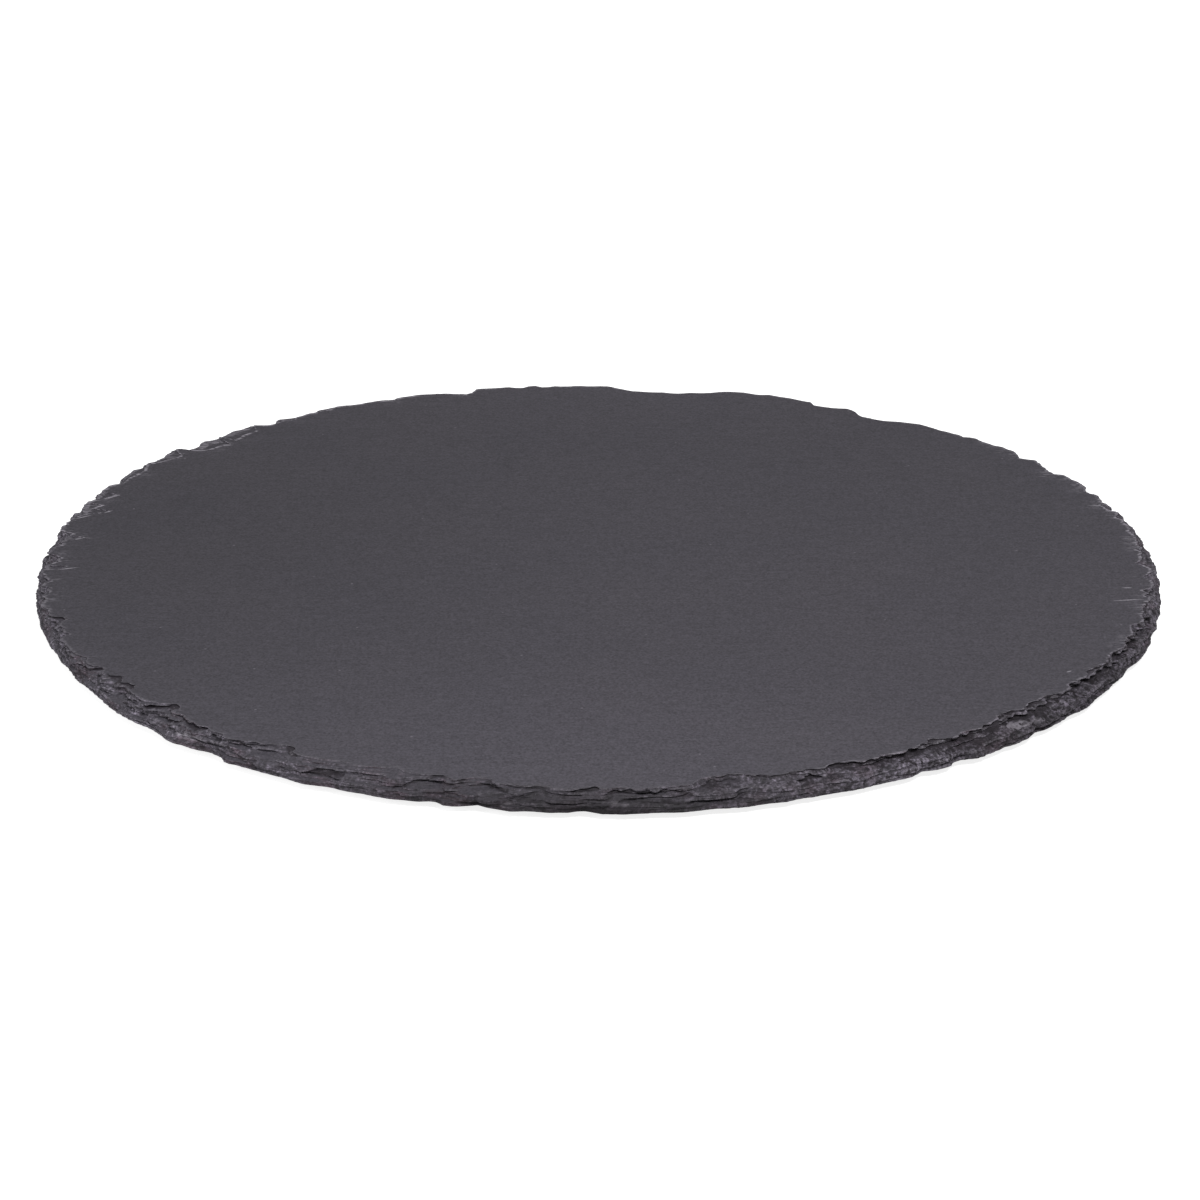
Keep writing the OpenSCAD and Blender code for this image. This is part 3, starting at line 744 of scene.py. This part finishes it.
def makeFilmMaterial(look):
    material, tree = newMaterial("acrylic adhesive film")
    place = addNode(tree, "ShaderNodeTexCoord").outputs["Object"]
    cloudAndPaintedLight = addNode(tree, "ShaderNodeTexNoise", inputs={
        "Vector": place, "Scale": 1 / (look["cloudMm"] * mm), "Detail": 3})
    tone = blend(tree, cloudAndPaintedLight.outputs["Fac"], hexColour(look["dark"]), hexColour(look["pale"]))
    shader = addNode(tree, "ShaderNodeBsdfPrincipled", inputs={"Base Color": tone, "Roughness": 0.35})
    addNode(tree, "ShaderNodeOutputMaterial", inputs={0: shader.outputs[0]})
    return material


def dressFeet():
    foam, film = makeFoamMaterial(foamLook), makeFilmMaterial(filmLook)
    for name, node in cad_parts.items():
        finish = foam if name.endswith("_foot") else film if name.endswith("_film") else None
        if finish:
            node.data.materials.clear()
            node.data.materials.append(finish)
    print("feet and films finished")


# Camera: fitted to the board's outline in the photograph, which it sees from 21.4 degrees up.
camera = {
    "elevation": 21.43,
    "distance": 1.2,
    "focalPx": 4498,
    "framePx": 1200,
    "centrePx": (595.9, 580.4),
    "sensorMm": 36,
    "clip": (0.05, 20),
}


def makeCamera(fit, aimHeight):
    lens = bpy.data.cameras.new("camera")
    lens.sensor_width = fit["sensorMm"]
    lens.lens = lens.sensor_width * fit["focalPx"] / fit["framePx"]
    lens.shift_x = 0.5 - fit["centrePx"][0] / fit["framePx"]
    lens.shift_y = fit["centrePx"][1] / fit["framePx"] - 0.5
    lens.clip_start, lens.clip_end = fit["clip"]
    piece = bpy.data.objects.new("camera", lens)
    bpy.context.scene.collection.objects.link(piece)
    rise = math.radians(fit["elevation"])
    piece.location = (0, -fit["distance"] * math.cos(rise), fit["distance"] * math.sin(rise) + aimHeight)
    piece.rotation_euler = (math.pi / 2 - rise, 0, 0)
    bpy.context.scene.camera = piece


# Plain pale studio: a white floor that keeps the board's shadow, a white world and soft lamps.
studio = {
    "floorHalf": 6.0,
    "world": 0.33,  # light from all round; the camera itself sees pure white
    "floor": "#c8c8c8",
    "floorLift": 0.81,  # brings the floor up to white for the camera alone
    "lamps": (  # place, size, watts
        ((0.25, -0.6, 0.85), 0.45, 10.5),
        ((-1.2, -0.5, 0.5), 0.5, 8),
    ),
}


def makeStudio(plan):
    material, tree = newMaterial("white studio floor")
    path = addNode(tree, "ShaderNodeLightPath")
    matt = addNode(tree, "ShaderNodeBsdfDiffuse", inputs={"Color": hexColour(plan["floor"])})
    lift = calc(tree, "MULTIPLY", path.outputs["Is Camera Ray"], plan["floorLift"])
    glow = addNode(tree, "ShaderNodeEmission", inputs={"Strength": lift})
    both = addNode(tree, "ShaderNodeAddShader", inputs={0: matt.outputs[0], 1: glow.outputs[0]})
    addNode(tree, "ShaderNodeOutputMaterial", inputs={0: both.outputs[0]})
    half = plan["floorHalf"]
    mesh = bpy.data.meshes.new("floor")
    mesh.from_pydata([(-half, -half, 0), (half, -half, 0), (half, half, 0), (-half, half, 0)], [], [(0, 1, 2, 3)])
    mesh.materials.append(material)
    floor = bpy.data.objects.new("floor", mesh)
    bpy.context.scene.collection.objects.link(floor)
    world = bpy.data.worlds.new("studio")
    bpy.context.scene.world = world
    world.use_nodes = True
    sky = world.node_tree
    sky.nodes.clear()
    seen = addNode(sky, "ShaderNodeLightPath")
    level = remap(sky, seen.outputs["Is Camera Ray"], 0, 1, plan["world"], 1)
    light = addNode(sky, "ShaderNodeBackground", inputs={"Color": hexColour("#ffffff"), "Strength": level})
    addNode(sky, "ShaderNodeOutputWorld", inputs={0: light.outputs[0]})
    for place, size, watts in plan["lamps"]:
        lamp = bpy.data.lights.new("softbox", "AREA")
        lamp.shape, lamp.size, lamp.energy = "SQUARE", size, watts
        box = bpy.data.objects.new("softbox", lamp)
        box.location = place
        box.rotation_euler = (-Vector(place)).to_track_quat("-Z", "Y").to_euler()
        bpy.context.scene.collection.objects.link(box)
    bpy.context.scene.view_settings.view_transform = "Standard"
    print("studio set")


makeCamera(camera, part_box("slate_slab")[0].z)
makeStudio(studio)
makeSlate(slate)
dressFeet()
